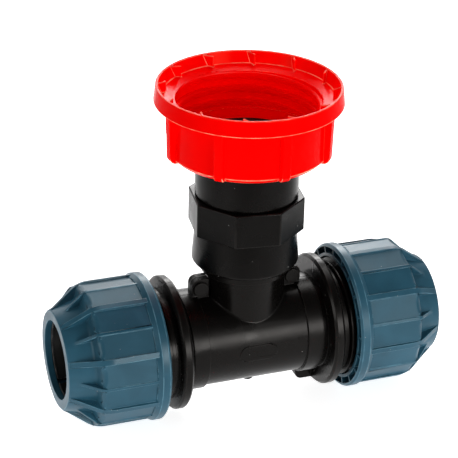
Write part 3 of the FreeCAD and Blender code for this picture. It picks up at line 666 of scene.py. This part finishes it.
# A faint red glow, painted light, though the cup is no lamp.
red_shader.inputs["Emission Color"].default_value = (1, 0, 0, 1)
red_shader.inputs["Emission Strength"].default_value = 0.16
cup_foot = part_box("swivel_nut")[0].z
cup_middle = cup_foot + 0.015
coarse_crest = 0.02785
coarse_root = 0.0300
lead_in_foot = cup_foot + 0.0231
lead_in_radius = 0.0340
lead_in_height = 0.0011
lead_in_slope = (lead_in_radius - coarse_root) / lead_in_height


def bare_cup_wall(work):
    """Take the cup's wall back from the crest of its thread to the root."""
    for point in work.verts:
        radius = math.hypot(point.co.x, point.co.y)
        if abs(radius - coarse_crest) < crest_margin:
            point.co.x *= coarse_root / radius
            point.co.y *= coarse_root / radius
            if point.co.z > cup_middle:
                point.co.z = lead_in_foot


# Painted highlight on the cup's strips: most along edges that face down, half in the hollows, little
# on top and at the sides.
rim_wear_and_highlight = (0.2, 0.08, 1.0, 0.5)
moulding("swivel_nut", "swivel", red, rounding=0.0003, reshape=bare_cup_wall,
         wear_and_highlight=rim_wear_and_highlight)
coarse_thread = {"Root Radius": coarse_root, "Crest Reach": coarse_crest - coarse_root,
                 "Buried": 0.0005, "Foot Width": 0.0060, "Crest Width": 0.0020,
                 "Rounding": 0.0013, "Pitch": 0.006, "Start": cup_foot + 0.0080,
                 "Turns": 2.45, "Run Out": 0.08, "Steps": 96}
coarse = wound_thread("coarse_thread", red, coarse_thread)
for point in coarse.vertices:
    radius = math.hypot(point.co.x, point.co.y)
    cone = coarse_root + (point.co.z - lead_in_foot) * lead_in_slope
    if radius < cone:
        point.co.x *= cone / radius
        point.co.y *= cone / radius
added(coarse, "coarse_thread", "swivel")


# Compression nuts.
# Steel-blue polypropylene, satin, with ribs for the hand. Each is moulded in one
# with the short inside thread that it is screwed on by.
# Its rib edges are painted paler blue, partly rubbing, partly a painted highlight.
blue = plastic("steel_blue_polypropylene", colour=(0.0175, 0.073, 0.112), roughness=0.37,
               shine=0.26, tint=(0.8, 0.96, 1.0), cloud=0.14, rubbed_and_lit=(0.12, 0.27, 0.35),
               rub_and_highlight=0.6, dust=0.06)
inside_root = 0.0256
inside_crest = 0.02385
inside_thread = {"Root Radius": inside_root, "Crest Reach": inside_crest - inside_root,
                 "Buried": 0.0004, "Foot Width": 0.0024, "Crest Width": 0.0007,
                 "Rounding": 0.0002, "Pitch": thread_pitch, "Start": 0.0458, "Turns": 2.0,
                 "Run Out": 0.12, "Steps": 72}
drum_radius = 0.0297
drum_sides = 16
drum_flat = drum_radius * math.cos(math.pi / drum_sides)
shoulder_radius = 0.0289
cone_radius = 0.0240
shoulder_depth = 0.0016
shoulder_fall = (shoulder_radius - cone_radius) / shoulder_depth
shoulder_rounding = 0.0020
root_rounding = 0.0010
nut_middle = 0.060
line_margin = 5e-5
drum_lean = (-1.0, 0.02)
cone_lean = (0.25, 0.35)
shoulder_lean = (0.93, 0.97)


def on_shoulder_line(point):
    """Whether a point is on the outer line of the shoulder, where it meets the chamfer."""
    radius = math.hypot(point.co.y, point.co.z)
    leans = [abs(face.normal.x) for face in point.link_faces]
    return (abs(point.co.x) > nut_middle and abs(radius - shoulder_radius) < line_margin
            and any(between(lean, shoulder_lean) for lean in leans))


def round_shoulders(work):
    """Turn the chamfer at the front of each side of the drum into a wide rounding.

    A face's lean is the share of its normal along the run.
    """
    flats = [face.normal.copy() for face in work.faces if between(abs(face.normal.x), drum_lean)
             and abs(face.normal.dot(face.verts[0].co) - drum_flat) < flattened_point]
    for point in work.verts:
        if on_shoulder_line(point):
            radius = math.hypot(point.co.y, point.co.z)
            outward = Vector((0, point.co.y, point.co.z)) / radius
            reach = drum_flat / max(flat.dot(outward) for flat in flats)
            set_back = math.copysign((reach - radius) / shoulder_fall, point.co.x)
            point.co = outward * reach + Vector((point.co.x - set_back, 0, 0))
    bmesh.ops.remove_doubles(work, verts=work.verts, dist=flattened_point)
    bmesh.ops.dissolve_limit(work, angle_limit=flat_enough, verts=work.verts, edges=work.edges)
    work.normal_update()
    corners = []
    roots = []
    for edge in work.edges:
        leans = sorted(abs(face.normal.x) for face in edge.link_faces)
        if len(leans) == 2 and between(leans[1], shoulder_lean):
            if between(leans[0], drum_lean) and edge.is_convex:
                corners.append(edge)
            elif between(leans[0], cone_lean) and not edge.is_convex:
                roots.append(edge)
    bmesh.ops.bevel(work, geom=corners, offset=shoulder_rounding, offset_type="OFFSET",
                    segments=5, profile=0.5, affect="EDGES")
    roots = [edge for edge in roots if edge.is_valid]
    bmesh.ops.bevel(work, geom=roots, offset=root_rounding, offset_type="OFFSET",
                    segments=3, profile=0.5, affect="EDGES")


for side in ("left", "right"):
    nut = side + "_nut"
    moulding(nut, nut, blue, rounding=0.0002, reshape=round_shoulders)
    name = side + "_inside_thread"
    ridge = along_run(wound_thread(name, blue, inside_thread), side)
    added(ridge, name, nut)


# Grip and thrust rings.
# Plain black mouldings that stay inside the nuts: the split ring with teeth that
# grips the pipe, and the ring that presses the seal.
# Their edges get the default pale grey of rubbing and painted highlight.
ring_plastic = plastic("black_ring_plastic", colour=(0.006, 0.0055, 0.005), roughness=0.3,
                       shine=0.30, rub_and_highlight=0.3)
for side in ("left", "right"):
    rings = side + "_rings"
    moulding(side + "_grip_ring", rings, ring_plastic, rounding=0.0002)
    moulding(side + "_thrust_ring", rings, ring_plastic, rounding=0.0003)
